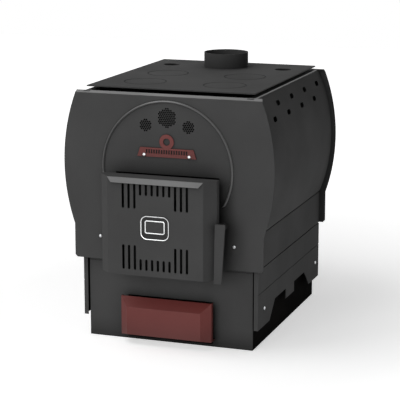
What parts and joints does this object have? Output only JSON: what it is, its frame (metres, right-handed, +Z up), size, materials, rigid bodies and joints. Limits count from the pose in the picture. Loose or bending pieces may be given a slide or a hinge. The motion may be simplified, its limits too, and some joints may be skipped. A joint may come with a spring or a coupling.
{
  "type": "potbelly stove",
  "caption": "Sheet-steel wood stove with a barrel firebox in a bulging casing, a flat cooking top with a flue collar, a hinged fire door with a lever latch and a sliding ash drawer.",
  "frame": {"origin": "on the floor, under the middle of the bounding box", "axes": "+X to the stove's right as one faces its door, +Y from the door to the back, +Z up"},
  "size_m": [0.5568, 0.6794, 0.691],
  "materials": {
    "grey_paint": "matt heat-resistant dark grey paint",
    "firebox_black": "matt black, sooted",
    "red_paint": "satin red paint",
    "zinc": "bright zinc plate",
    "cast_iron": "bare cast iron",
    "rope": "woven ceramic rope"
  },
  "bodies": {
    "stove": {"front_panel": "grey_paint", "rear_panel": "grey_paint", "side_casing_right": "grey_paint", "side_casing_left": "grey_paint", "side_skirt_right": "grey_paint", "side_skirt_left": "grey_paint", "base_front": "grey_paint", "base_rear": "grey_paint", "door_neck": "grey_paint", "latch_strike": "grey_paint", "cooktop_plate": "grey_paint", "flue_collar": "grey_paint", "arch_trim": "grey_paint", "panel_spacer_left": "grey_paint", "panel_spacer_right": "grey_paint", "hinge_bracket_lower": "grey_paint", "hinge_bracket_upper": "grey_paint", "base_side_right": "firebox_black", "base_side_left": "firebox_black", "ash_floor": "firebox_black", "drawer_rail_right": "firebox_black", "drawer_rail_left": "firebox_black", "firebox_floor": "firebox_black", "firebox_shell": "firebox_black", "firebox_front": "firebox_black", "firebox_rear": "firebox_black", "flame_baffle": "firebox_black", "cooktop_support_front": "firebox_black", "cooktop_support_rear": "firebox_black", "name_bar": "red_paint", "skirt_screw_right_front": "zinc", "skirt_screw_left_front": "zinc", "skirt_screw_right_rear": "zinc", "skirt_screw_left_rear": "zinc", "name_bar_screw_left": "zinc", "name_bar_screw_right": "zinc", "panel_screw_left": "zinc", "panel_screw_right": "zinc", "hinge_pin_lower": "zinc", "hinge_pin_upper": "zinc", "grate": "cast_iron"},
    "door": {"door_cover": "grey_paint", "door_visor": "grey_paint", "door_plate": "grey_paint", "door_seal": "rope", "door_shield": "firebox_black", "door_badge": "zinc", "hinge_knuckle_lower": "grey_paint", "hinge_knuckle_upper": "grey_paint"},
    "latch": {"latch_lever": "grey_paint", "latch_pin": "grey_paint", "latch_cam": "grey_paint"},
    "drawer": {"drawer_front": "red_paint", "drawer_tray": "firebox_black"}
  },
  "joints": [
    {"name": "door_hinge", "type": "hinge", "parent": "stove", "child": "door", "pos_m": [-0.143, -0.27735, 0.32], "axis": [0, 0, -1], "range_deg": [0, 110]},
    {"name": "latch_pivot", "type": "hinge", "parent": "door", "child": "latch", "pos_m": [0.158, -0.29435, 0.326], "axis": [0, -1, 0], "range_deg": [0, 90]},
    {"name": "drawer_slide", "type": "slide", "parent": "stove", "child": "drawer", "axis": [0, -1, 0], "range_m": [0, 0.35]}
  ]
}
